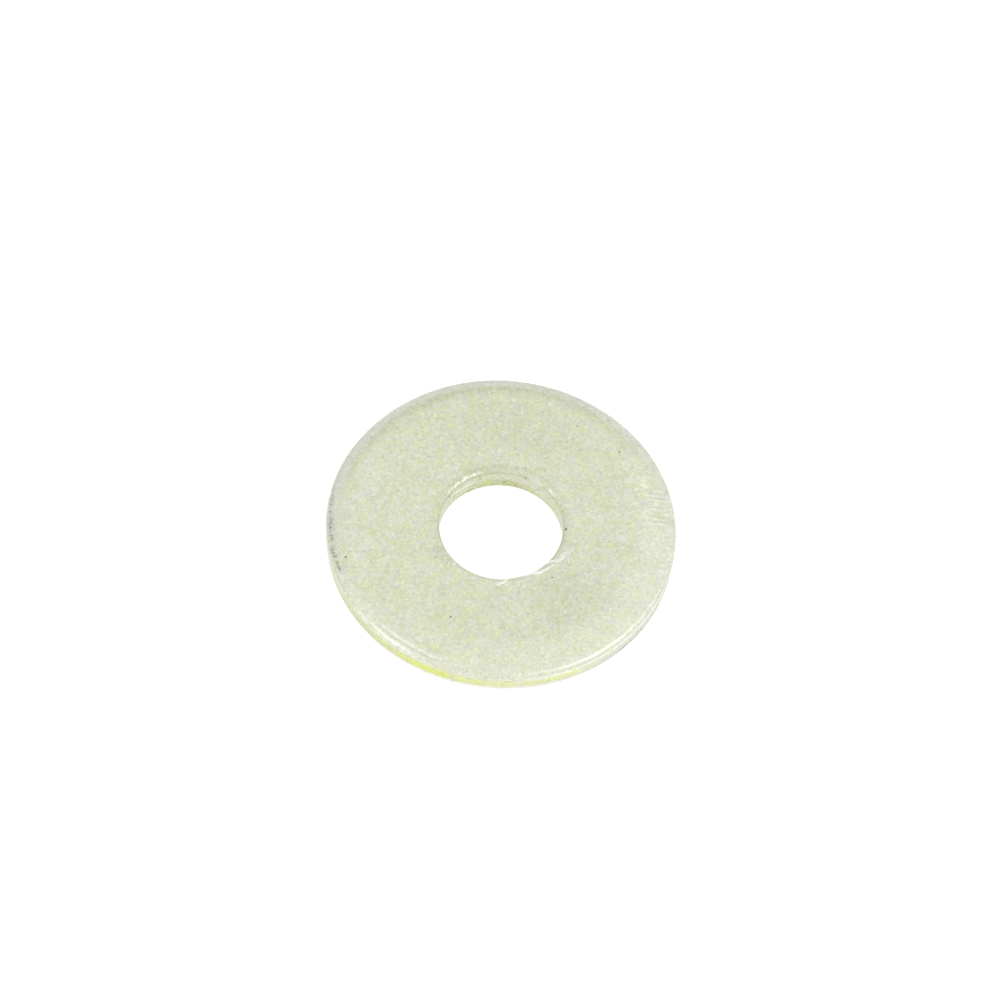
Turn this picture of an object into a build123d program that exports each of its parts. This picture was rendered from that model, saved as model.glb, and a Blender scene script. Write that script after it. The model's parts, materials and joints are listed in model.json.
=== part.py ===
from build123d import *
import os

# Flat washer of the large series for an M5 screw: one ring, punched out of steel strip, tumbled and
# zinc plated. Millimetres. The washer lies on the XY plane and its bore runs up +Z from the origin.
# The lower face is the flat bearing face. The upper face is the one that the punching drew down, so
# both of its edges are rounded.

# The ring, over its plating
outer_diameter = 15.0
bore_diameter = 5.3
thickness = 1.2

# Rolled edges: each edge of the upper face curves down to its wall in a quarter of an ellipse.
rim_roll_width = 1.5
rim_roll_depth = 0.34
bore_roll_width = 0.3
bore_roll_depth = 0.19

# Lands: the upright, burnished part of each wall, just below its rolled edge
rim_land_height = 0.38
bore_land_height = 0.5

# Fractures: below its land the metal tore, and the wall falls back this far by the lower face.
rim_fracture_setback = 0.05
bore_fracture_setback = 0.02

# Tumbling took the sharpness off both lower edges.
lower_edge_radius = 0.08


def cut_wall(radius, outward, roll_width, roll_depth, land_height, fracture_setback):
    """Draws one cut wall in the section's plane, from the lower face up to where its rolled edge ends.

    outward is 1 where the open side is away from the axis, as at the rim, and -1 at the bore.
    Returns the wall's two ends, on the lower and on the upper face.
    """
    land_top = thickness - roll_depth
    land_foot = land_top - land_height
    lower_end = (radius - outward * fracture_setback, 0)
    upper_end = (radius - outward * roll_width, thickness)
    arc_centre = (upper_end[0], land_top)
    arc_start = 0 if outward == 1 else 90
    Polyline(lower_end, (radius, land_foot), (radius, land_top))
    EllipticalCenterArc(arc_centre, roll_width, roll_depth, start_angle=arc_start, arc_size=90)
    return lower_end, upper_end


with BuildPart() as washer:
    with BuildSketch(Plane.XZ) as section:
        with BuildLine():
            bore_lower, bore_upper = cut_wall(
                radius=bore_diameter / 2,
                outward=-1,
                roll_width=bore_roll_width,
                roll_depth=bore_roll_depth,
                land_height=bore_land_height,
                fracture_setback=bore_fracture_setback,
            )
            rim_lower, rim_upper = cut_wall(
                radius=outer_diameter / 2,
                outward=1,
                roll_width=rim_roll_width,
                roll_depth=rim_roll_depth,
                land_height=rim_land_height,
                fracture_setback=rim_fracture_setback,
            )
            Line(bore_lower, rim_lower)
            Line(bore_upper, rim_upper)
        make_face()
        fillet(section.vertices().group_by(Axis.Y)[0], radius=lower_edge_radius)
    revolve(axis=Axis.Z)

washer.part.label = "washer"

os.makedirs("parts", exist_ok=True)
export_step(washer.part, "parts/washer.step")
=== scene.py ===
import json
import math
from functools import partial

import bpy
import numpy as np
from mathutils import Matrix, Vector


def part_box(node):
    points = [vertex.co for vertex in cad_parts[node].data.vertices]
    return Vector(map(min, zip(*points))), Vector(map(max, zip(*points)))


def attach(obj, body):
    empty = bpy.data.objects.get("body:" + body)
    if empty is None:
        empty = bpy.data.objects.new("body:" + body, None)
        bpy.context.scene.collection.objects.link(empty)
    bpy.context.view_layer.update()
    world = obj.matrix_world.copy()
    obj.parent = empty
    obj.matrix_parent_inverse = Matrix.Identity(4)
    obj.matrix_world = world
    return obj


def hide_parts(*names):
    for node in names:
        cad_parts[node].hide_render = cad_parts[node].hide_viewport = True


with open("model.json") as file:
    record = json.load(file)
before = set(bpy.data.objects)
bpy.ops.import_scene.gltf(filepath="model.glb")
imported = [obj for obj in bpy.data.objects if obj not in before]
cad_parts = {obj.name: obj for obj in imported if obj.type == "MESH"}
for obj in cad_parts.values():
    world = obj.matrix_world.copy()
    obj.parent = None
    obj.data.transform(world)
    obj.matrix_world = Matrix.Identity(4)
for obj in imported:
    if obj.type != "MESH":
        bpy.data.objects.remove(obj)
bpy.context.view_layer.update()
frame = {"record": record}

bl_info = {
    "name": "Punched Flat Washer",
    "version": (1, 0, 0),
    "blender": (4, 5, 0),
    "location": "View3D > Sidebar > Washer",
    "description": "Makes a punched, zinc-plated flat washer and the small studio that shows it",
    "category": "Add Mesh",
}

# One millimetre in Blender's metres
MM = 0.001

# The ring as the frame holds it: the middle of the bore is at the origin, and the lower face is at z = 0.
RING_LOW, RING_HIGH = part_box("washer")
BORE_MOUNT = next(mount for mount in frame["record"]["mounts"] if mount["name"] == "bore")
BORE_RADIUS = BORE_MOUNT["dims"]["r_mm"] * MM
BORE_LAND = BORE_MOUNT["dims"]["length_mm"] * MM

# Columns of the ring's mesh, all round, and its rows in each zone of the section, from the bore outwards
# along the lower face, up the rim, back along the upper face and down the bore
COLUMNS = 900
ZONE_ROWS = {
    "lower_face": 7,
    "rim_foot": 4,
    "rim_tear": 9,
    "rim_land": 9,
    "rim_roll": 29,
    "upper_face": 23,
    "bore_roll": 10,
    "bore_land": 10,
    "bore_tear": 6,
    "bore_foot": 3,
}

# The shortest of the strip's soft waves, and the spacing of the lines drawn round the rim's roll
SHORTEST_WAVE = 0.62 * MM
DRAW_LINE_SPACING = 0.13 * MM

# The rim roll's rows crowd towards the wall, where it is most curved: their even steps are raised to this
ROLL_CROWDING = 1.35

# Lines along the ring where the finish differs, and where highlights and shade are painted. Each is the trait
# it adds to, its first and last degrees round the ring, its place in millimetres at each end, its half width
# in millimetres, its strength, and how uneven it is. A place is measured along the section from the top of
# the
# land: up the roll is above 0, and down the wall is below it.
RIM_LINES = (
    # Painted highlights: the bright streaks on the roll and land at the front left
    ("bare", -143, -114, 0.04, 0.10, 0.075, 0.70, 0.55),
    ("bare", -137, -108, -0.06, -0.02, 0.050, 0.70, 0.55),
    ("bare", -131, -106, 0.46, 0.40, 0.045, 0.75, 0.35),
    # Painted shade: the dark line between the highlights at the front left
    ("tarnish", -133, -105, 0.33, 0.27, 0.035, 0.30, 0.20),
    # Painted highlights: the bright lines on the land and roll at the front and front right
    ("bare", -106, -58, 0.00, 0.02, 0.035, 0.45, 0.50),
    ("bare", -84, -16, 0.24, 0.15, 0.045, 0.65, 0.40),
    ("bare", -78, -12, -0.13, -0.16, 0.090, 1.00, 0.45),
    ("bare", -50, -37, -0.03, -0.05, 0.030, 0.60, 0.80),
    ("soil", -60, -8, -0.80, -0.80, 0.070, 0.60, 0.50),
    ("soil", -42.4, -40.6, -0.70, -0.70, 0.080, 0.40, 0.00),
    ("soil", -33.4, -31.6, -0.68, -0.68, 0.070, 0.35, 0.00),
    ("tarnish", -32, 72, -0.24, -0.24, 0.400, 0.20, 0.10),
    # Painted shade along the top of the rim's wall, from the right round to the back
    ("soil", -4, 124, -0.08, 0.06, 0.180, 0.28, 0.20),
    # Painted highlight on the roll at the back right
    ("bare", 32, 82, 0.20, 0.25, 0.090, 0.20, 0.40),
    # Painted shade on the roll and just above the land at the back
    ("tarnish", 28, 172, 0.60, 0.62, 0.120, 0.20, 0.50),
    ("tarnish", 20, 172, 0.08, 0.08, 0.070, 0.35, 0.20),
    ("soil", -190, -172, 0.18, 0.34, 0.070, 0.60, 0.60),
    ("soil", -178, -156, 0.27, 0.30, 0.065, 0.85, 0.60),
    ("soil", -164, -149, 0.26, 0.40, 0.055, 0.32, 0.80),
    ("soil", -180, -155, 0.36, 0.42, 0.170, 0.22, 0.30),
    # Painted shade: the dark line between the two highlights at the front right
    ("soil", -42, -14, -0.02, -0.03, 0.040, 0.35, 0.30),
    ("tarnish", -42.6, -40.4, -0.70, -0.70, 0.080, 0.50, 0.00),
    ("tarnish", -36.0, -34.2, -0.42, -0.42, 0.060, 0.50, 0.00),
    ("film", -172, -126, -0.04, -0.04, 0.280, 0.22, 0.20),
    # Painted shade on the roll at the back
    ("soil", 4, 92, 0.30, 0.32, 0.130, 0.15, 0.20),
)
BORE_LINES = (
    # Painted highlights: the bright streaks on the bore's far mouth and wall, and one on its near mouth
    ("bare", 111, 152, 0.19, 0.17, 0.050, 1.00, 0.45),
    ("bare", 118, 149, -0.41, -0.24, 0.048, 1.00, 0.35),
    ("bare", 118, 142, -0.62, -0.60, 0.050, 0.45, 0.60),
    ("bare", 51, 65, 0.10, 0.04, 0.070, 0.65, 0.30),
    ("bare", 37, 47, 0.17, 0.17, 0.045, 0.80, 0.40),
    ("bare", 48, 60, -0.54, -0.56, 0.070, 0.50, 0.20),
    ("bare", 87, 104, -0.67, -0.67, 0.035, 0.35, 0.30),
    ("bare", -112, -86, 0.05, 0.05, 0.050, 0.50, 0.30),
    ("soil", 82, 106, -0.46, -0.46, 0.030, 0.45, 0.50),
    ("soil", 52, 128, -0.80, -0.80, 0.040, 0.50, 0.80),
    ("soil", 148, 152, -0.04, -0.06, 0.060, 1.00, 0.00),
    ("soil", 141, 146, -0.44, -0.40, 0.050, 0.90, 0.00),
    ("soil", 122, 126, -0.84, -0.84, 0.060, 1.00, 0.00),
    ("soil", 117, 121, -0.52, -0.50, 0.050, 0.90, 0.00),
    ("soil", 112, 115, -0.18, -0.16, 0.060, 1.00, 0.00),
    ("soil", 88, 92, -0.60, -0.64, 0.060, 0.80, 0.00),
    ("soil", 78, 82, -0.76, -0.76, 0.050, 0.80, 0.00),
    ("soil", 55, 59, -0.35, -0.33, 0.060, 1.00, 0.00),
    ("soil", 41, 49, -0.14, -0.60, 0.050, 0.70, 0.40),
    ("soil", 69.5, 72.5, 0.02, 0.02, 0.040, 0.90, 0.00),
    ("soil", -14, 42, -0.02, -0.02, 0.050, 0.35, 0.60),
    ("tarnish", 95, 205, 0.20, 0.16, 0.140, 0.18, 0.30),
    ("soil", -154, -133, 0.50, 0.50, 0.220, 0.40, 0.40),
)


# The seeds of a table's first line, which the next lines count on from by twos
FIRST_LINE_SEED = 100


def linear(code):
    """The linear RGB of an sRGB hex colour, such as "d8dcc2"."""
    shares = [int(code[i : i + 2], 16) / 255 for i in (0, 2, 4)]
    return tuple(s / 12.92 if s <= 0.04045 else ((s + 0.055) / 1.055) ** 2.4 for s in shares)


def length_value(name, description, default):
    """A length that a user can change, in metres."""
    return bpy.props.FloatProperty(
        name=name,
        description=description,
        default=default,
        min=0,
        precision=6,
        subtype="DISTANCE",
        unit="LENGTH",
    )


def colour_value(name, description, code):
    """A colour that a user can change, given as sRGB hex."""
    return bpy.props.FloatVectorProperty(
        name=name, description=description, default=linear(code), min=0, max=1, size=3, subtype="COLOR"
    )


class WasherSizes(bpy.types.PropertyGroup):
    """The ring's sizes"""

    outer_diameter: length_value("Outer diameter", "Across the rim", RING_HIGH.x - RING_LOW.x)
    bore_diameter: length_value("Bore diameter", "Across the hole", 2 * BORE_RADIUS)
    thickness: length_value("Thickness", "Between the two faces", RING_HIGH.z)
    rim_roll_width: length_value("Rim roll width", "How far the rim's rolled edge reaches in", 1.5 * MM)
    rim_roll_depth: length_value("Rim roll depth", "How far the rim's rolled edge drops", 0.34 * MM)
    bore_roll_width: length_value("Bore roll width", "How far the bore's rolled edge reaches out", 0.3 * MM)
    bore_roll_depth: length_value("Bore roll depth", "How far the bore's rolled edge drops", 0.19 * MM)
    rim_land: length_value("Rim land", "Height of the rim's burnished wall", 0.38 * MM)
    bore_land: length_value("Bore land", "Height of the bore's burnished wall", BORE_LAND)
    rim_setback: length_value("Rim setback", "How far the torn foot of the rim falls back", 0.05 * MM)
    bore_setback: length_value("Bore setback", "How far the torn foot of the bore falls back", 0.02 * MM)
    foot_radius: length_value("Foot radius", "Of the two tumbled lower edges", 0.08 * MM)


class WasherMarks(bpy.types.PropertyGroup):
    """What punching and tumbling left on the ring"""

    roll_wander: bpy.props.FloatProperty(
        name="Roll wander", description="Share by which the rim's roll varies", default=0.07, min=0, max=0.3
    )
    ripple: length_value("Ripple", "Height of the soft waves on the upper face", 0.0022 * MM)
    draw_lines: length_value("Draw lines", "Height of the lines drawn round the rim's roll", 0.0035 * MM)
    tear: length_value("Tear", "Depth of the torn foot of each wall", 0.020 * MM)
    scoring: length_value("Scoring", "Depth of the upright scores on each land", 0.003 * MM)
    burr_width: length_value("Burr width", "Each sliver at the bore's mouth has a share of this", 0.24 * MM)


class WasherFinish(bpy.types.PropertyGroup):
    """Colours of the plated surface"""

    zinc_green: colour_value("Zinc, green side", "Where the film is a little thicker", "d1dcaf")
    zinc_grey: colour_value("Zinc, grey side", "Where the film is thin", "dad9d0")
    zinc_lilac: colour_value("Zinc, lilac side", "Where the film is thinnest", "dfd5d6")
    rubbed_zinc: colour_value("Rubbed zinc", "Where tumbling thinned the film", "dcddd0")
    pooled_film: colour_value("Pooled film", "Where the film dried thickest, on the walls", "e0e782")
    # Also the colour of painted shade on the rim's wall, the rolls and the bore
    tarnish: colour_value("Tarnish", "Where the zinc went dull", "9ea272")
    # Also the colour of painted highlights on the rolls, lands, bore mouth and burrs
    bare_zinc_and_highlight: colour_value("Bare zinc", "Where the film is rubbed through on burrs and edges", "f6f7f0")
    # Also the colour of painted shade on the far roll and between highlights
    soil: colour_value("Soil", "Grime in the worn patch and along the edges", "6e675a")


class WasherStudio(bpy.types.PropertyGroup):
    """Camera and light"""

    camera_distance: length_value("Camera distance", "From the middle of the washer", 300 * MM)
    camera_elevation: bpy.props.FloatProperty(
        name="Camera elevation", description="Above the floor", default=math.radians(58.5), subtype="ANGLE"
    )
    camera_roll: bpy.props.FloatProperty(
        name="Camera roll",
        description="Anticlockwise, seen from behind it",
        default=math.radians(4.7),
        subtype="ANGLE",
    )
    lens: bpy.props.FloatProperty(
        name="Lens",
        description="Focal length in millimetres",
        default=251.7,
        min=50,
        max=500,
        subtype="DISTANCE_CAMERA",
    )
    room_light: bpy.props.FloatProperty(
        name="Room light", description="Brightness of the white room", default=1.036, min=0, max=3
    )
    front_light: bpy.props.FloatProperty(
        name="Front light",
        description="How much brighter the room is at the front and right",
        default=0.34,
        min=0,
        max=2,
    )
    side_loss: bpy.props.FloatProperty(
        name="Side loss",
        description="Share by which the room is darker far to the left",
        default=0.14,
        min=0,
        max=1,
    )
    softbox_light: bpy.props.FloatProperty(
        name="Softbox light", description="Brightness of the softboxes' faces", default=0.7, min=0, max=20
    )


# --- The ring ---------------------------------------------------------------------------------------------


def wander(angle, fewest, most, seed):
    """An uneven line round the ring: a sum of cosines, one for each whole number of waves from fewest to
    most, each at its own seeded phase, divided by the root of half their number so that it varies by about
    1."""
    waves = np.arange(fewest, most + 1)
    phases = np.random.default_rng(seed).uniform(0, 2 * np.pi, len(waves))
    return np.cos(np.multiply.outer(angle, waves) + phases).sum(axis=-1) / math.sqrt(len(waves) / 2)


def roughness_field(angle, arc, shortest, seed, terms=48):
    """Random relief over the surface: a sum of plane waves, each with a whole number of waves round the ring
    so that the seam closes, none shorter along the section than shortest, divided so that it varies by about
    1. angle goes round the ring and arc is the distance along its section."""
    rng = np.random.default_rng(seed)
    mean_radius = (RING_HIGH.x + BORE_RADIUS) / 2
    most_round = int(2 * math.pi * mean_radius / shortest)
    round_waves = rng.integers(-most_round, most_round + 1, terms)
    arc_rates = rng.uniform(-2 * math.pi / shortest, 2 * math.pi / shortest, terms)
    phases = rng.uniform(0, 2 * math.pi, terms)
    waves = zip(round_waves, arc_rates, phases)
    relief = sum(np.cos(count * angle + rate * arc + phase) for count, rate, phase in waves)
    return relief / math.sqrt(terms / 2)


def bump(value, middle, half_width):
    """A Gaussian of height 1 about middle, which has fallen to about a third at half_width from it."""
    return np.exp(-(((value - middle) / half_width) ** 2))


def window(angle, middle, half_width):
    """A bump round the ring, on the difference from middle taken the short way round. middle and half_width
    are in degrees."""
    gap = (angle - math.radians(middle) + math.pi) % (2 * math.pi) - math.pi
    return bump(gap, 0, math.radians(half_width))


def fade(value, start, end):
    """0 up to start and 1 from end on, with an even slope between. It falls if end is below start."""
    return np.clip((value - start) / (end - start), 0, 1)


def ring_section(sizes, roll_share, setback_share):
    """Rows of the ring's section, with one column for each place round it.

    The faces and lands are straight lines, the two feet are quarter circles, and each roll is a quarter of an
    ellipse: radius = edge + width * cosine and height = top - depth + depth * sine. roll_share, one number a
    column, multiplies the rim roll's width and depth, and setback_share how far the rim's foot falls back.
    Returns the radii, the heights, each row's zone and how far along its zone it lies, from 0 to 1.
    """
    rim = sizes.outer_diameter / 2
    bore = sizes.bore_diameter / 2
    top = sizes.thickness
    foot = sizes.foot_radius
    rim_width = sizes.rim_roll_width * roll_share
    rim_depth = sizes.rim_roll_depth * roll_share
    rim_land_foot = top - sizes.rim_roll_depth - sizes.rim_land
    bore_land_top = top - sizes.bore_roll_depth
    bore_land_foot = bore_land_top - sizes.bore_land
    rim_foot = rim - sizes.rim_setback * setback_share * (1 - foot / rim_land_foot)
    bore_foot = bore + sizes.bore_setback * (1 - foot / bore_land_foot)
    every = np.ones_like(roll_share)

    def straight(start, end):
        return lambda t: (start[0] + (end[0] - start[0]) * t, start[1] + (end[1] - start[1]) * t)

    def elliptic(centre_radius, centre_height, width, depth, first, last):
        def place(t):
            turn = first + (last - first) * t
            return centre_radius + width * np.cos(turn), centre_height + depth * np.sin(turn)

        return place

    quarter = math.pi / 2
    curves = {
        "lower_face": straight((bore_foot + foot, 0), (rim_foot - foot, 0)),
        "rim_foot": elliptic(rim_foot - foot, foot, foot, foot, -quarter, 0),
        "rim_tear": straight((rim_foot, foot), (rim, rim_land_foot)),
        "rim_land": straight((rim, rim_land_foot), (rim, top - rim_depth)),
        "rim_roll": elliptic(rim - rim_width, top - rim_depth, rim_width, rim_depth, 0, quarter),
        "upper_face": straight((rim - rim_width, top), (bore + sizes.bore_roll_width, top)),
        "bore_roll": elliptic(
            bore + sizes.bore_roll_width, bore_land_top, sizes.bore_roll_width, sizes.bore_roll_depth,
            quarter, 2 * quarter,
        ),
        "bore_land": straight((bore, bore_land_top), (bore, bore_land_foot)),
        "bore_tear": straight((bore, bore_land_foot), (bore_foot, foot)),
        "bore_foot": elliptic(bore_foot + foot, foot, foot, foot, 2 * quarter, 3 * quarter),
    }
    radii, heights, zones, places = [], [], [], []
    for zone, rows in ZONE_ROWS.items():
        t = np.arange(rows)[:, None] / rows
        if zone == "rim_roll":
            t = t**ROLL_CROWDING
        radius, height = curves[zone](t)
        radii.append(radius * every)
        heights.append(height * every)
        zones += [zone] * rows
        places += list(t[:, 0])
    return np.vstack(radii), np.vstack(heights), np.array(zones), np.array(places)


def closed_grid(points):
    """Faces of a grid of points whose last row joins its first and whose last column joins its first. Points
    run outwards along the lower face, so each face is turned to look out of the metal."""
    rows, columns = points.shape[:2]
    numbers = np.arange(rows * columns).reshape(rows, columns)
    next_row = np.roll(numbers, -1, axis=0)
    next_column = np.roll(numbers, -1, axis=1)
    across = np.roll(next_row, -1, axis=1)
    return np.stack([numbers, next_column, across, next_row], axis=-1).reshape(-1, 4)


def mesh_object(name, points, faces, traits):
    """A smooth mesh object at the origin. traits are numbers for each point, kept as attributes by name."""
    mesh = bpy.data.meshes.new(name)
    faces = faces if isinstance(faces, list) else faces.tolist()
    mesh.from_pydata(points.reshape(-1, 3).tolist(), [], faces)
    mesh.polygons.foreach_set("use_smooth", np.ones(len(faces), dtype=bool))
    for trait, values in traits.items():
        attribute = mesh.attributes.new(trait, "FLOAT", "POINT")
        attribute.data.foreach_set("value", np.asarray(values, dtype=np.float32).ravel())
    mesh.update()
    made = bpy.data.objects.new(name, mesh)
    bpy.context.scene.collection.objects.link(made)
    return made


def ring_mesh(sizes, marks):
    """The ring: its section carried round the bore, with the marks that punching and tumbling left on it, in
    and out along the section's normal. Returns the points, the faces and the traits that the finish reads."""
    angle = np.arange(COLUMNS) * 2 * np.pi / COLUMNS
    around = partial(window, angle)

    # The roll wanders a few times round the ring, and at the front right the foot hardly falls back
    roll_share = 1 + marks.roll_wander * wander(angle, 2, 5, seed=11)
    setback_share = 1 - 0.9 * around(-38, 34)
    radius, height, zones, places = ring_section(sizes, roll_share, setback_share)
    place = places[:, None]

    # The section's tangent turned a quarter clockwise points out of the metal.
    along_radius = np.roll(radius, -1, axis=0) - np.roll(radius, 1, axis=0)
    along_height = np.roll(height, -1, axis=0) - np.roll(height, 1, axis=0)
    stretch = np.hypot(along_radius, along_height)
    out_radius, out_height = along_height / stretch, -along_radius / stretch
    radius_step = np.diff(radius, axis=0, prepend=radius[-1:])
    height_step = np.diff(height, axis=0, prepend=height[-1:])
    arc = np.cumsum(np.hypot(radius_step, height_step), axis=0)

    def zone_mask(*names):
        return np.isin(zones, names)[:, None].astype(float)

    lift = np.zeros_like(radius)

    # Soft waves, as rolled strip has, on the upper face and its roll: highest near the rim, on the right
    top_side = zone_mask("rim_roll", "upper_face")
    right_side = 0.35 + around(12, 38)
    near_rim = fade(radius, 4.4 * MM, 6.8 * MM)
    waves = roughness_field(angle, arc, SHORTEST_WAVE, seed=21)
    lift += marks.ripple * waves * top_side * right_side * near_rim

    # Lines drawn round the rim's roll, where the metal slid over the die: stronger at the front
    front = 0.25 + around(-42, 30) + around(-118, 24)
    roll_edge = zone_mask("rim_roll") * fade(place, 0.62, 0) ** 0.5
    lines = np.sin(2 * np.pi * arc / DRAW_LINE_SPACING + 1.2 * wander(angle, 3, 14, seed=31))
    lift += marks.draw_lines * lines * front * roll_edge * (0.75 + 0.35 * wander(angle, 5, 40, seed=32))

    # The torn foot of each wall: upright chips of uneven depth, which turn from one pattern into another on
    # the way up
    torn = zone_mask("rim_tear") * np.sin(np.pi * (0.12 + 0.8 * place)) + 0.5 * zone_mask("bore_tear")
    turn = 2.2 * place
    chips = wander(angle, 30, 190, seed=41) * np.cos(turn) + wander(angle, 60, 260, seed=42) * np.sin(turn)
    lift -= marks.tear * torn * np.clip(0.45 + 0.4 * chips, 0, 1.4)

    # Upright scores on the burnished lands, always into the metal
    lands = zone_mask("rim_land", "bore_land")
    lift += marks.scoring * lands * np.minimum(wander(angle, 90, 330, seed=51) - 1.5, 0)

    radius = radius + lift * out_radius
    height = height + lift * out_height
    points = np.stack([radius * np.cos(angle), radius * np.sin(angle), height], axis=-1)

    places = {"rim": arc - arc[np.flatnonzero(zones == "rim_roll")[0]]}
    places["bore"] = arc[np.flatnonzero(zones == "bore_land")[0]] - arc
    traits = surface_traits(angle, radius / MM, height / MM, places, zone_mask)
    return points, closed_grid(points), traits


def drawn_line(angle, place, first, last, place_first, place_last, half_width, unevenness, seed):
    """A line drawn round part of the ring, from 0 to 1: a Gaussian across its place, times the cube root of a
    half sine along it, and broken up by cosines. Its place moves evenly from place_first to place_last, and
    wanders by 0.4 of its half width. Places are in millimetres."""
    share = ((angle - math.radians(first) + math.pi) % (2 * math.pi) - math.pi) / math.radians(last - first)
    share = np.clip(share, 0, 1)
    middle = place_first + (place_last - place_first) * share + 0.4 * half_width * wander(angle, 8, 90, seed)
    broken = np.clip(1 - unevenness * (0.5 + 0.6 * wander(angle, 30, 170, seed + 1)), 0, 1)
    return bump(place, middle, half_width) * np.sin(np.pi * share) ** (1 / 3) * broken


def surface_traits(angle, radius, height, places, zone_mask):
    """What differs from place to place in the finish, from 0 to 1. Sizes are in millimetres.

    film is where the passivation pooled and dried thick, rubbed where tumbling thinned it, tarnish where it
    went dull olive and also where shade is painted, bare where it is worn off and also where highlights are
    painted, soil where grime has stuck and also where shade is painted, burnish where the tools rubbed the
    metal smooth, and chatter where the strip kept fine radial waves. Each is a sum of stretches: a strength,
    times the zones it is in, times windows round the ring, in degrees, and bumps and fades across it.
    """
    rim_walls = zone_mask("rim_foot", "rim_tear", "rim_land")
    bore_tear = zone_mask("bore_tear", "bore_foot")
    roll = zone_mask("rim_roll")
    around = partial(window, angle)

    # The film ran down the rim's wall at the front, and dried in the torn zone of the bore at the back
    run = 0.04 + 0.62 * around(-110, 42) + 0.46 * around(-111, 11) + 0.42 * around(-66, 8)
    run = run * (1 + 0.12 * wander(angle, 6, 70, seed=61))
    film = rim_walls * run * bump(height, 0.48, 0.32)
    film = film + bore_tear * (0.08 + 0.26 * around(92, 34)) * (1 + 0.4 * wander(angle, 3, 40, seed=62))

    # Tumbling thinned it on everything that stands out
    rubbed = roll * fade(radius, 6.96, 7.08) * (1 - 0.7 * around(-60, 80))
    rubbed = rubbed + rim_walls * 0.85 + 0.15 * zone_mask("bore_land")

    # Dull olive, with painted shade, on the bore's torn wall, most at the back. Painted shade on the left of
    # the rim's wall, on the bore's land and its mouth, most at the back, on the outer roll at the front, and
    # in a band on the roll at the back
    tarnish = bore_tear * (0.06 + 0.30 * around(92, 36)) + 0.30 * rim_walls * around(-160, 44)
    tarnish = tarnish + 0.12 * zone_mask("bore_land") + zone_mask("bore_roll") * (0.06 + 0.2 * around(98, 46))
    tarnish = tarnish + 0.07 * roll * around(-88, 42) * fade(radius, 6.95, 7.05)
    tarnish = tarnish + 0.13 * roll * around(98, 48) * bump(radius, 6.88, 0.28)

    # Painted highlights: along the rim's foot at the front, in a pale band inside the roll's edge and one
    # round the bore, and on the bore's near mouth
    bare = rim_walls * fade(height, 0.28, 0.13) * 0.65 * around(-98, 36)
    pale = fade(radius, 5.6, 6.2) * fade(radius, 7.05, 6.65)
    pale = pale * (0.19 * around(-5, 38) + 0.11 * around(-88, 36) + 0.09 * around(172, 30))
    pale = pale + 0.07 * around(170, 45) * bump(radius, 3.55, 0.3)
    bare = bare + pale * zone_mask("rim_roll", "upper_face")
    bare = bare + 0.22 * zone_mask("bore_roll") * around(-75, 62)

    # Grime along the rim's foot at the front right
    soil = 0.36 * rim_walls * fade(height, 0.26, 0.12) * around(-26, 30)
    drawn = {"film": film, "rubbed": rubbed, "tarnish": tarnish, "bare": bare, "soil": soil}
    for edge, lines, zones in (
        ("rim", RIM_LINES, ("rim_foot", "rim_tear", "rim_land", "rim_roll")),
        ("bore", BORE_LINES, ("bore_roll", "bore_land", "bore_tear", "bore_foot", "upper_face")),
    ):
        for number, (trait, *course, half_width, strength, unevenness) in enumerate(lines):
            seed = FIRST_LINE_SEED + 2 * number
            line = drawn_line(angle, places[edge] / MM, *course, half_width, unevenness, seed)
            drawn[trait] = drawn[trait] + strength * line * zone_mask(*zones)

    # Two darker olive patches at the front right of the face, and painted shade over a wide stretch behind
    # the bore
    east, north = radius * np.cos(angle), radius * np.sin(angle)
    dull = bump(east, 2.9, 1.3) * bump(north, -3.3, 1.3) + 0.5 * bump(east, 4.4, 0.9) * bump(north, -3.6, 0.9)
    drawn["tarnish"] = drawn["tarnish"] + 0.13 * dull * zone_mask("upper_face", "bore_roll")
    behind = around(82, 38) * fade(radius, 3.4, 4.2)
    drawn["tarnish"] = drawn["tarnish"] + 0.08 * behind * zone_mask("upper_face")

    drawn["burnish"] = zone_mask("rim_land") + 0.3 * zone_mask("bore_land") + roll * fade(radius, 6.9, 7.3)
    chatter = around(14, 13) * fade(radius, 5.6, 6.4) * fade(radius, 7.35, 7.05)
    drawn["chatter"] = chatter * zone_mask("rim_roll", "upper_face")
    return {trait: np.clip(np.broadcast_to(value, radius.shape), 0, 1) for trait, value in drawn.items()}


# --- The burrs --------------------------------------------------------------------------------------------

# Slivers that the punch raised at the bore's mouth: each a list of (degrees round the bore, radius in
# millimetres), its share of the burr width, and how bare it is, which also paints a highlight on it
BURRS = (
    (((-72, 2.66), (-59.5, 2.75), (-52, 2.82), (-44.6, 2.90), (-34.5, 3.00)), 0.55, 0.60),
    (((-50, 2.67), (-38, 2.75), (-33, 2.86), (-27, 3.06)), 0.45, 0.35),
    (((-35, 2.95), (-29, 3.05), (-22, 3.18)), 0.75, 0.45),
    (((-33, 2.90), (-26, 2.99), (-21, 3.09), (-15, 3.21)), 0.30, 0.65),
    (((-25, 3.13), (-20, 3.20), (-17, 3.25), (-13, 3.31)), 0.70, 0.06),
    (((-24, 3.18), (-26.5, 3.33), (-29.5, 3.44)), 0.32, 0.40),
    (((-56, 2.83), (-48, 2.90), (-41, 2.93)), 0.50, 0.80),
    (((-80, 2.66), (-70, 2.68), (-60, 2.72)), 0.35, 0.50),
    (((-110.5, 2.66), (-109.8, 2.84), (-109.3, 3.03)), 0.38, 0.60),
    (((-79.5, 2.67), (-82, 2.80), (-85.8, 2.93), (-89.5, 3.03)), 0.60, 0.60),
)
BURR_STEPS = 28
BURR_SIDES = 10

# Half a sliver's height, as a share of its width
BURR_RISE = 0.11


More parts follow.
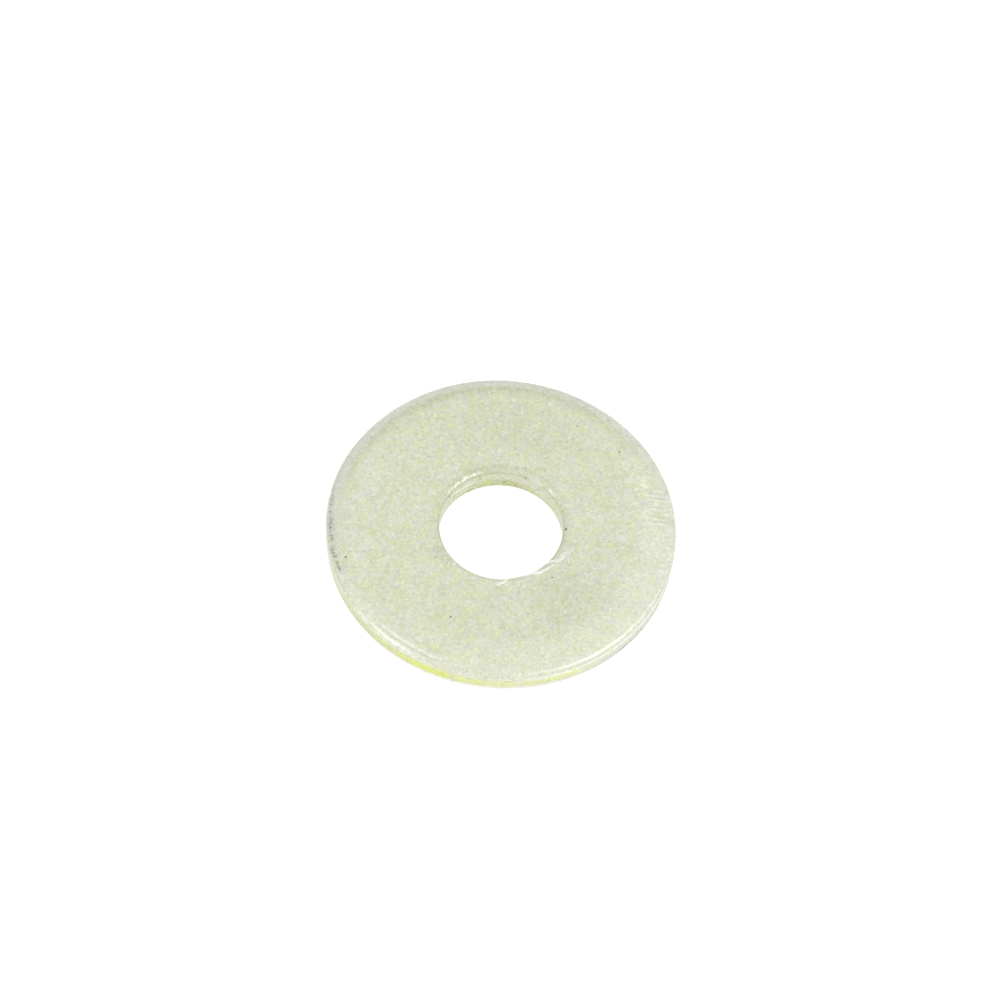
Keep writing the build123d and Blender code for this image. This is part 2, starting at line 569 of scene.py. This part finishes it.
def smooth_path(corners, steps):
    """A smooth line near a list of corners: each coordinate is a polynomial fitted to them, of one degree
    less than their number and at most a cubic, read at even steps."""
    corners = np.asarray(corners, dtype=float)
    at = np.linspace(0, 1, len(corners))
    reads = np.linspace(0, 1, steps)
    degree = min(3, len(corners) - 1)
    return np.stack([np.polyval(np.polyfit(at, column, degree), reads) for column in corners.T], axis=-1)


def upper_height(radius, sizes):
    """Height of the upper side at a radius near the bore: flat, then down a quarter of an ellipse at the
    mouth."""
    mouth = sizes.bore_diameter / 2
    inward = fade(radius, mouth + sizes.bore_roll_width, mouth)
    return sizes.thickness - sizes.bore_roll_depth * (1 - np.sqrt(1 - inward**2))


def sliver(corners, width, sizes):
    """One sliver: an ellipse carried along its path on the upper side, tapering by the root of a sine to a
    point at both ends and sunk by three eighths of its own height. Returns points and faces."""
    path = smooth_path(corners, BURR_STEPS)
    turn, radius = np.radians(path[:, 0]), path[:, 1] * MM
    centre = np.stack([radius * np.cos(turn), radius * np.sin(turn), upper_height(radius, sizes)], axis=-1)
    forward = np.gradient(centre, axis=0)
    forward /= np.linalg.norm(forward, axis=1, keepdims=True)
    side = np.cross(forward, (0, 0, 1))
    side /= np.linalg.norm(side, axis=1, keepdims=True)
    up = np.cross(side, forward)
    taper = np.sqrt(np.sin(np.pi * np.linspace(0.02, 0.98, BURR_STEPS)))[:, None, None]
    round_turn = (np.arange(BURR_SIDES) * 2 * np.pi / BURR_SIDES)[None, :, None]
    body = centre[:, None] + taper * width * (
        0.5 * np.cos(round_turn) * side[:, None] + BURR_RISE * (np.sin(round_turn) + 0.25) * up[:, None]
    )
    points = np.vstack([body.reshape(-1, 3), centre[:1], centre[-1:]])
    numbers = np.arange(BURR_STEPS * BURR_SIDES).reshape(BURR_STEPS, BURR_SIDES)
    ahead = np.roll(numbers, -1, axis=1)
    walls = np.stack([numbers[:-1], numbers[1:], ahead[1:], ahead[:-1]], axis=-1).reshape(-1, 4)
    first_pole, last_pole = len(points) - 2, len(points) - 1
    caps = [(int(a), int(b), first_pole) for a, b in zip(numbers[0], ahead[0])]
    caps += [(int(b), int(a), last_pole) for a, b in zip(numbers[-1], ahead[-1])]
    return points, [tuple(face) for face in walls.tolist()] + caps


# --- Nodules ----------------------------------------------------------------------------------------------

# Grains plated over on the upper face: (x, y, half width) in millimetres, and whether the grain is dark
NODULES = (
    (2.77, 0.04, 0.070, True),
    (4.81, 4.15, 0.045, True),
    (2.91, 5.27, 0.035, True),
    (0.86, 2.93, 0.035, True),
    (-1.81, -4.79, 0.055, True),
    (-6.49, -2.23, 0.040, True),
    (2.34, -2.44, 0.045, True),
    (2.89, -1.92, 0.025, True),
    (3.95, 2.55, 0.025, True),
    (-3.35, 3.10, 0.025, True),
    (-0.55, 4.85, 0.025, True),
    (5.45, 0.55, 0.025, True),
    (-4.66, -2.08, 0.040, False),
    (-5.31, -3.75, 0.045, False),
    (-5.78, -2.51, 0.040, False),
    (6.35, -2.95, 0.040, False),
    (5.35, -3.85, 0.035, False),
    (1.62, 4.42, 0.035, False),
    (-4.20, 2.62, 0.030, False),
    (-3.10, -0.35, 0.030, False),
    (3.62, 1.12, 0.028, False),
    (-1.15, -5.62, 0.030, False),
    (-2.15, 5.15, 0.030, False),
    (-5.05, 0.85, 0.030, False),
    (0.40, -6.35, 0.030, False),
)
NODULE_RINGS = 4
NODULE_SIDES = 12


def nodule(east, north, half_width, sizes):
    """One grain: a low dome on the upper side, whose height falls from the middle by a cosine, whose outline
    is a circle with two cosines on it, and whose foot is let into the metal. Returns points and faces."""
    share = np.arange(1, NODULE_RINGS + 1)[:, None] / NODULE_RINGS
    turn = np.arange(NODULE_SIDES)[None, :] * 2 * np.pi / NODULE_SIDES
    outline = 1 + 0.12 * np.cos(2 * turn + 40 * east) + 0.08 * np.cos(3 * turn + 55 * north)
    reach = half_width * MM * share * outline
    x, y = east * MM + reach * np.cos(turn), north * MM + reach * np.sin(turn)
    dome = half_width * MM * (0.32 * np.cos(np.pi / 2 * share) - 0.06)
    radius = np.hypot(x, y)
    outward = fade(radius, sizes.outer_diameter / 2 - sizes.rim_roll_width, sizes.outer_diameter / 2)
    rim_drop = sizes.rim_roll_depth * (1 - np.sqrt(1 - outward**2))
    z = upper_height(radius, sizes) - rim_drop + dome
    crown = np.array([[east * MM, north * MM, z[0].mean() + 0.02 * half_width * MM]])
    points = np.vstack([np.stack([x, y, z], axis=-1).reshape(-1, 3), crown])
    numbers = np.arange(NODULE_RINGS * NODULE_SIDES).reshape(NODULE_RINGS, NODULE_SIDES)
    ahead = np.roll(numbers, -1, axis=1)
    sides = np.stack([numbers[:-1], numbers[1:], ahead[1:], ahead[:-1]], axis=-1).reshape(-1, 4)
    top = [(int(a), int(b), len(points) - 1) for a, b in zip(numbers[0], ahead[0])]
    floor = [tuple(numbers[-1][::-1].tolist())]
    return points, [tuple(face) for face in sides.tolist()] + top + floor


def gathered(shapes):
    """Joins the points and faces of several shapes. Returns them, and each point's shape by number."""
    points = np.vstack([shape_points for shape_points, _ in shapes])
    counts = [len(shape_points) for shape_points, _ in shapes]
    starts = np.cumsum([0, *counts[:-1]])
    faces = []
    for start, (_, group) in zip(starts.tolist(), shapes):
        faces += [tuple(number + start for number in face) for face in group]
    return points, faces, np.repeat(np.arange(len(shapes)), counts)


# --- The finish -------------------------------------------------------------------------------------------

TRAITS = ("film", "rubbed", "tarnish", "bare", "soil", "burnish", "chatter")


def add_node(tree, kind, inputs, **settings):
    """Adds a node. An input that is given an output socket is linked to it, and any other is set."""
    node = tree.nodes.new(kind)
    for name, value in settings.items():
        setattr(node, name, value)
    for key, value in inputs.items():
        if isinstance(value, bpy.types.NodeSocket):
            tree.links.new(value, node.inputs[key])
        else:
            node.inputs[key].default_value = value
    return node


def zinc_plate(finish):
    """Zinc electroplate on punched steel under a thin passivation film: a satin metal whose fine crystal
    grain drifts between pale yellow green, warm grey and a trace of lilac, smoother where the tools
    burnished it."""
    material = bpy.data.materials.get("zinc_plate_passivated")
    if material:
        return material
    material = bpy.data.materials.new("zinc_plate_passivated")
    material.use_nodes = True
    tree = material.node_tree
    tree.nodes.clear()
    place = add_node(tree, "ShaderNodeTexCoord", {}).outputs["Object"]
    trait = {}
    for name in TRAITS:
        trait[name] = add_node(tree, "ShaderNodeAttribute", {}, attribute_name=name).outputs["Fac"]

    def grain(size_mm, detail, low, high, at=place):
        """Noise of one size, spread from low to high over the range that it mostly keeps to"""
        pattern = {"Vector": at, "Scale": 1 / (size_mm * MM), "Detail": detail}
        noise = add_node(tree, "ShaderNodeTexNoise", pattern).outputs["Fac"]
        limits = {"Value": noise, "From Min": 0.32, "From Max": 0.68, "To Min": low, "To Max": high}
        return add_node(tree, "ShaderNodeMapRange", limits).outputs["Result"]

    # Crystal grain in clusters of about 0.4 mm, in patches of a few millimetres, is the first coat. Each coat
    # lies over those before it, by the share beside its colour.
    clusters = {0: grain(0.38, 3, 0.16, 0.84), 1: grain(2.8, 2, -0.06, 0.06)}
    drift = add_node(tree, "ShaderNodeMath", clusters, operation="ADD", use_clamp=True).outputs[0]
    coats = (
        (drift, finish.zinc_grey),
        (grain(0.62, 2, -0.16, 0.26), finish.zinc_lilac),
        (trait["rubbed"], finish.rubbed_zinc),
        (trait["film"], finish.pooled_film),
        # Painted shade comes in with the tarnish coat, and painted highlights with the bare coat
        (trait["tarnish"], finish.tarnish),
        (trait["bare"], finish.bare_zinc_and_highlight),
    )
    tint = (*finish.zinc_green, 1)
    for share, coat in coats:
        layers = {0: share, 6: tint, 7: (*coat, 1)}
        tint = add_node(tree, "ShaderNodeMix", layers, data_type="RGBA").outputs[2]

    # Waves along the radius, about 0.12 mm apart, which the strip kept beside the rim: relief, with painted
    # shade and painted highlights on their sides as well
    stretch = {"Vector": place, "Rotation": (0, 0, math.radians(-14)), "Scale": (0.16, 1, 1)}
    along = add_node(tree, "ShaderNodeMapping", stretch).outputs["Vector"]
    ripple_relief_and_shade = {0: grain(0.115, 1, -0.105, 0.105, at=along), 1: trait["chatter"]}
    ripple_relief_and_shade = add_node(tree, "ShaderNodeMath", ripple_relief_and_shade, operation="MULTIPLY").outputs[0]

    # Crystals brighter and darker by a few percent, with painted glints on single facets of about 0.1 mm, as
    # if they caught the light, and painted shade on others, as if they faced away from it
    facets = add_node(tree, "ShaderNodeTexVoronoi", {"Vector": place, "Scale": 1 / (0.12 * MM)})
    chance = add_node(tree, "ShaderNodeSeparateColor", {"Color": facets.outputs["Color"]}).outputs["Red"]
    painted_glint = {"Value": chance, "From Min": 0.88, "From Max": 0.93, "To Min": 0.0, "To Max": 0.07}
    painted_facet_shade = {"Value": chance, "From Min": 0.06, "From Max": 0.12, "To Min": -0.07, "To Max": 0.0}
    brightness = grain(0.125, 2, 0.925, 1.075)
    for change in (
        grain(0.8, 3, -0.022, 0.022),
        add_node(tree, "ShaderNodeMapRange", painted_glint).outputs["Result"],
        add_node(tree, "ShaderNodeMapRange", painted_facet_shade).outputs["Result"],
        ripple_relief_and_shade,
    ):
        brightness = add_node(tree, "ShaderNodeMath", {0: brightness, 1: change}, operation="ADD").outputs[0]
    shade = add_node(tree, "ShaderNodeVectorMath", {0: tint, "Scale": brightness}, operation="SCALE")

    # Grime, and the painted shade laid with it, goes on in specks of less than 0.1 mm
    speckle = {0: trait["soil"], 1: grain(0.085, 3, -0.05, 1.15)}
    speckle = add_node(tree, "ShaderNodeMath", speckle, operation="MULTIPLY", use_clamp=True).outputs[0]
    soiled_and_shaded = {0: speckle, 6: shade.outputs["Vector"], 7: (*finish.soil, 1)}
    colour = add_node(tree, "ShaderNodeMix", soiled_and_shaded, data_type="RGBA").outputs[2]

    # Satin where the plate is as it grew, and smoother where it was burnished
    smoothing = {"Value": trait["burnish"], "To Min": 0.47, "To Max": 0.25}
    roughness = add_node(tree, "ShaderNodeMapRange", smoothing).outputs["Result"]
    height = {0: grain(0.12, 3, 0, 1), 1: ripple_relief_and_shade}
    height = add_node(tree, "ShaderNodeMath", height, operation="ADD").outputs[0]
    relief = {"Height": height, "Strength": 1.0, "Distance": 0.0015 * MM}
    relief = add_node(tree, "ShaderNodeBump", relief).outputs["Normal"]
    surface = {"Base Color": colour, "Metallic": 1.0, "Roughness": roughness, "Normal": relief}
    shader = add_node(tree, "ShaderNodeBsdfPrincipled", surface)
    add_node(tree, "ShaderNodeOutputMaterial", {"Surface": shader.outputs["BSDF"]})
    return material


def lit_ground():
    """Pale acrylic ground, lit through from below, so that the washer throws hardly any shadow on it."""
    material = bpy.data.materials.new("lit_acrylic_ground")
    material.use_nodes = True
    shader = material.node_tree.nodes["Principled BSDF"]
    shader.inputs["Base Color"].default_value = (0.08, 0.08, 0.08, 1)
    shader.inputs["Roughness"].default_value = 0.9
    shader.inputs["Specular IOR Level"].default_value = 0.0
    shader.inputs["Emission Color"].default_value = (1, 1, 1, 1)
    shader.inputs["Emission Strength"].default_value = 1.02
    return material


def finish_piece(made):
    """Gives a finished piece its finish and joins it to the frame."""
    made.data.materials.append(zinc_plate(bpy.context.scene.washer_finish))
    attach(made, "root")


# --- Operators --------------------------------------------------------------------------------------------


class WASHER_OT_make_ring(bpy.types.Operator):
    """Make the punched ring"""

    bl_idname = "washer.make_ring"
    bl_label = "Make Ring"

    def execute(self, context):
        points, faces, traits = ring_mesh(context.scene.washer_sizes, context.scene.washer_marks)
        ring = mesh_object("punched_ring", points, faces, traits)
        finish_piece(ring)
        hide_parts("washer")
        return {"FINISHED"}


class WASHER_OT_make_burrs(bpy.types.Operator):
    """Make the slivers that the punch raised at the mouth of the bore"""

    bl_idname = "washer.make_burrs"
    bl_label = "Make Burrs"

    def execute(self, context):
        sizes = context.scene.washer_sizes
        width = context.scene.washer_marks.burr_width
        slivers = [sliver(corners, share * width, sizes) for corners, share, _ in BURRS]
        points, faces, owner = gathered(slivers)
        bareness = np.array([bare for *_, bare in BURRS])
        traits = dict.fromkeys(TRAITS, np.zeros(len(points)))
        traits.update(rubbed=np.ones(len(points)), bare=bareness[owner])
        finish_piece(mesh_object("bore_burrs", points, faces, traits))
        return {"FINISHED"}


class WASHER_OT_make_nodules(bpy.types.Operator):
    """Make the grains that were plated over on the upper face"""

    bl_idname = "washer.make_nodules"
    bl_label = "Make Nodules"

    def execute(self, context):
        sizes = context.scene.washer_sizes
        points, faces, owner = gathered([nodule(*shape, sizes) for *shape, _ in NODULES])
        dark = np.array([is_dark for *_, is_dark in NODULES], dtype=float)[owner]
        traits = dict.fromkeys(TRAITS, np.zeros(len(points)))
        traits.update(soil=dark, tarnish=dark, bare=0.9 * (1 - dark), burnish=1 - dark)
        finish_piece(mesh_object("plating_nodules", points, faces, traits))
        return {"FINISHED"}


class WASHER_OT_make_studio(bpy.types.Operator):
    """Make the pale ground, the soft lights and the camera"""

    bl_idname = "washer.make_studio"
    bl_label = "Make Studio"

    def execute(self, context):
        scene = context.scene
        studio = scene.washer_studio
        scene.view_settings.view_transform = "Standard"
        world = bpy.data.worlds.new("white_room")
        world.use_nodes = True
        white_room(world.node_tree, studio)
        scene.world = world

        half = 1.5
        ground_mesh = bpy.data.meshes.new("ground")
        corners = [(-half, -half, 0), (half, -half, 0), (half, half, 0), (-half, half, 0)]
        ground_mesh.from_pydata(corners, [], [(0, 1, 2, 3)])
        ground_mesh.materials.append(lit_ground())
        ground = bpy.data.objects.new("ground", ground_mesh)
        scene.collection.objects.link(ground)

        for name, azimuth, elevation in (("softbox_left", 203, 46), ("softbox_right", -23, 46)):
            softbox(scene, name, azimuth, elevation, studio.softbox_light)

        camera_data = bpy.data.cameras.new("camera")
        camera_data.sensor_width = 36
        camera_data.lens = studio.lens
        camera_data.clip_start = 1 * MM
        camera = bpy.data.objects.new("camera", camera_data)
        back = Vector((0, -math.cos(studio.camera_elevation), math.sin(studio.camera_elevation)))
        aim = Vector((-0.14, 1.96, 0)) * MM
        camera.location = back * studio.camera_distance
        turn = (aim - camera.location).to_track_quat("-Z", "Y").to_matrix().to_4x4()
        roll = Matrix.Rotation(studio.camera_roll, 4, "Z")
        camera.matrix_world = Matrix.Translation(camera.location) @ turn @ roll
        scene.collection.objects.link(camera)
        scene.camera = camera
        return {"FINISHED"}


def white_room(tree, studio):
    """Lights the room: its brightness rises evenly from the back left towards the front right, and levels off
    at both ends. Where the upper face mirrors the room to the camera it is room_light. Far to the left it
    falls by side_loss."""
    way = add_node(tree, "ShaderNodeTexCoord", {}).outputs["Generated"]
    front = Vector((0.34, -0.88, -0.34)).normalized()
    mirrored = Vector((0, math.cos(studio.camera_elevation), math.sin(studio.camera_elevation)))
    middle, ramp = front.dot(mirrored), 0.12
    rise = 0.3 * studio.front_light
    frontness = add_node(tree, "ShaderNodeVectorMath", {0: way, 1: front}, operation="DOT_PRODUCT")
    slope = {"From Min": middle - ramp, "From Max": middle + ramp, "To Min": 1 - rise, "To Max": 1 + rise}
    slope["Value"] = frontness.outputs["Value"]
    brightness = add_node(tree, "ShaderNodeMapRange", slope).outputs["Result"]

    leftness = add_node(tree, "ShaderNodeVectorMath", {0: way, 1: (-1, 0, 0)}, operation="DOT_PRODUCT")
    darkest = studio.room_light * (1 - studio.side_loss)
    fall = {"From Min": 0.4, "From Max": 0.9, "To Min": studio.room_light, "To Max": darkest}
    fall["Value"] = leftness.outputs["Value"]
    level = add_node(tree, "ShaderNodeMapRange", fall).outputs["Result"]
    strength = add_node(tree, "ShaderNodeMath", {0: brightness, 1: level}, operation="MULTIPLY").outputs[0]
    tree.links.new(strength, tree.nodes["Background"].inputs["Strength"])
    tree.nodes["Background"].inputs["Color"].default_value = (1, 1, 1, 1)


def softbox(scene, name, azimuth, elevation, brightness):
    """A square soft light that faces the washer. azimuth is anticlockwise from +X. brightness is its face's
    radiance, and a lamp's power is pi times that times its area."""
    side, distance = 0.14, 0.45
    data = bpy.data.lights.new(name, "AREA")
    data.shape = "SQUARE"
    data.size = side
    data.energy = brightness * math.pi * side * side
    lamp = bpy.data.objects.new(name, data)
    around, up = math.radians(azimuth), math.radians(elevation)
    way = Vector((math.cos(around) * math.cos(up), math.sin(around) * math.cos(up), math.sin(up)))
    turn = (-way).to_track_quat("-Z", "Y").to_matrix().to_4x4()
    lamp.matrix_world = Matrix.Translation(way * distance) @ turn
    scene.collection.objects.link(lamp)


class WASHER_PT_panel(bpy.types.Panel):
    """Lists the washer's pieces and its studio in the sidebar"""

    bl_idname = "WASHER_PT_panel"
    bl_label = "Punched Flat Washer"
    bl_space_type = "VIEW_3D"
    bl_region_type = "UI"
    bl_category = "Washer"

    def draw(self, context):
        layout = self.layout
        for operator in OPERATORS:
            layout.operator(operator.bl_idname)
        for group in GROUPS:
            box = layout.box()
            box.label(text=GROUPS[group].__doc__)
            settings = getattr(context.scene, group)
            for name in GROUPS[group].__annotations__:
                box.prop(settings, name)


OPERATORS = (WASHER_OT_make_studio, WASHER_OT_make_ring, WASHER_OT_make_burrs, WASHER_OT_make_nodules)
GROUPS = {
    "washer_sizes": WasherSizes,
    "washer_marks": WasherMarks,
    "washer_finish": WasherFinish,
    "washer_studio": WasherStudio,
}


def register():
    for item in (*GROUPS.values(), *OPERATORS, WASHER_PT_panel):
        bpy.utils.register_class(item)
    for name, group in GROUPS.items():
        setattr(bpy.types.Scene, name, bpy.props.PointerProperty(type=group))


def unregister():
    for name in GROUPS:
        delattr(bpy.types.Scene, name)
    for item in (WASHER_PT_panel, *reversed(OPERATORS), *reversed(GROUPS.values())):
        bpy.utils.unregister_class(item)


def main():
    register()
    bpy.ops.washer.make_studio()
    bpy.ops.washer.make_ring()
    bpy.ops.washer.make_burrs()
    bpy.ops.washer.make_nodules()


if __name__ == "__main__":
    main()
